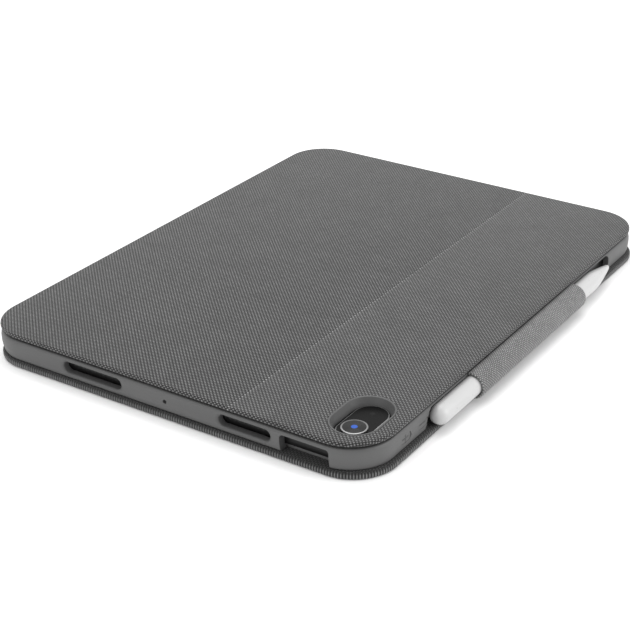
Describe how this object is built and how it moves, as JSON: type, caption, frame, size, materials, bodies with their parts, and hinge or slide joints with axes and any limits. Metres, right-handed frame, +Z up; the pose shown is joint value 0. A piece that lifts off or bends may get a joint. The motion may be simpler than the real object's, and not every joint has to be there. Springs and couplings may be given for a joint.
{
  "type": "tablet keyboard case",
  "caption": "Folding fabric-covered tablet case: a thin keyboard half, a spine, a tablet tray with a kickstand back, a camera window and a flap that holds a stylus.",
  "frame": {"origin": "on the underside of the closed case, below the middle of the tray", "axes": "+X along the long edge, +Y from the stylus flap to the spine, +Z up through the closed case"},
  "size_m": [0.2566, 0.206, 0.016],
  "materials": {
    "fabric": "woven melange cloth, grey",
    "bumper": "soft-touch moulded, grey",
    "hard_plastic": "fine matt",
    "stiff_board": "plain pressed board",
    "deck": "fine matt",
    "keycap": "satin",
    "trackpad": "satin glass",
    "circuit": "solder mask",
    "film": "amber film",
    "steel": "plain"
  },
  "bodies": {
    "base": {"cover_fabric": "fabric", "cover_board": "stiff_board", "keyboard_deck": "deck", "key_membrane": "film", "circuit_board": "circuit", "trackpad_switch": "steel", "closing_magnet_left": "steel", "closing_magnet_right": "steel", "flex_connector": "hard_plastic"},
    "key_row_1": {"key_row_1": "keycap"},
    "key_row_2": {"key_row_2": "keycap"},
    "key_row_3": {"key_row_3": "keycap"},
    "key_row_4": {"key_row_4": "keycap"},
    "key_row_5": {"key_row_5": "keycap"},
    "key_row_6": {"key_row_6": "keycap"},
    "space_bar": {"space_bar": "keycap"},
    "trackpad": {"trackpad_surface": "trackpad", "trackpad_board": "circuit"},
    "spine": {"spine_board": "stiff_board", "spine_fabric": "fabric", "spine_ribbon": "film"},
    "tray": {"tray_bumper": "bumper", "tray_back_plate": "hard_plastic", "camera_window_trim": "bumper", "front_panel_board": "stiff_board", "front_panel_fabric": "fabric", "hinge_leaf_fixed_left": "steel", "hinge_leaf_fixed_right": "steel", "hinge_pin_left": "steel", "hinge_pin_right": "steel", "contact_block": "hard_plastic", "spine_clamp": "hard_plastic", "clamp_screw_1": "steel", "clamp_screw_2": "steel", "clamp_screw_3": "steel", "clamp_screw_4": "steel", "latch_magnet_left": "steel", "latch_magnet_right": "steel", "spine_fold_strip": "fabric"},
    "kickstand": {"kickstand_board": "stiff_board", "kickstand_fabric": "fabric", "hinge_leaf_moving_left": "steel", "hinge_leaf_moving_right": "steel", "kickstand_magnet": "steel"},
    "volume_up": {"volume_up_button": "bumper"},
    "volume_down": {"volume_down_button": "bumper"},
    "flap_lower": {"flap_lower": "fabric"},
    "flap_upper": {"flap_upper": "fabric"}
  },
  "joints": [
    {"name": "crease_kickstand", "type": "hinge", "parent": "tray", "child": "kickstand", "pos_m": [0, -0.03395, 0.0146], "axis": [1, 0, 0], "range_deg": [0, 65]},
    {"name": "flap_lift", "type": "hinge", "parent": "base", "child": "flap_lower", "pos_m": [0, -0.09998, 0.0018], "axis": [1, 0, 0], "range_deg": [0, 50]},
    {"name": "flap_uncurl", "type": "hinge", "parent": "flap_lower", "child": "flap_upper", "pos_m": [0, -0.10545, 0.0076], "axis": [1, 0, 0], "range_deg": [0, 70]},
    {"name": "fold_base_spine", "type": "hinge", "parent": "base", "child": "spine", "pos_m": [0, 0.10055, 0.00285], "axis": [1, 0, 0], "range_deg": [-90, 0]},
    {"name": "fold_spine_tray", "type": "hinge", "parent": "spine", "child": "tray", "pos_m": [0, 0.10055, 0.01315], "axis": [1, 0, 0], "range_deg": [-90, 0]},
    {"name": "press_key_row_1", "type": "slide", "parent": "base", "child": "key_row_1", "axis": [0, 0, -1], "range_m": [0, 0.001], "stiffness_N_per_m": 600},
    {"name": "press_key_row_2", "type": "slide", "parent": "base", "child": "key_row_2", "axis": [0, 0, -1], "range_m": [0, 0.001], "stiffness_N_per_m": 600},
    {"name": "press_key_row_3", "type": "slide", "parent": "base", "child": "key_row_3", "axis": [0, 0, -1], "range_m": [0, 0.001], "stiffness_N_per_m": 600},
    {"name": "press_key_row_4", "type": "slide", "parent": "base", "child": "key_row_4", "axis": [0, 0, -1], "range_m": [0, 0.001], "stiffness_N_per_m": 600},
    {"name": "press_key_row_5", "type": "slide", "parent": "base", "child": "key_row_5", "axis": [0, 0, -1], "range_m": [0, 0.001], "stiffness_N_per_m": 600},
    {"name": "press_key_row_6", "type": "slide", "parent": "base", "child": "key_row_6", "axis": [0, 0, -1], "range_m": [0, 0.001], "stiffness_N_per_m": 600},
    {"name": "press_space_bar", "type": "slide", "parent": "base", "child": "space_bar", "axis": [0, 0, -1], "range_m": [0, 0.001], "stiffness_N_per_m": 600},
    {"name": "press_trackpad", "type": "slide", "parent": "base", "child": "trackpad", "axis": [0, 0, -1], "range_m": [0, 0.00025], "stiffness_N_per_m": 4000},
    {"name": "press_volume_down", "type": "slide", "parent": "tray", "child": "volume_down", "axis": [0, 1, 0], "range_m": [0, 0.0003], "stiffness_N_per_m": 2500},
    {"name": "press_volume_up", "type": "slide", "parent": "tray", "child": "volume_up", "axis": [0, 1, 0], "range_m": [0, 0.0003], "stiffness_N_per_m": 2500}
  ],
  "couplings": [
    {"joint": "flap_uncurl", "follows": "flap_lift", "ratio": 1.4}
  ]
}
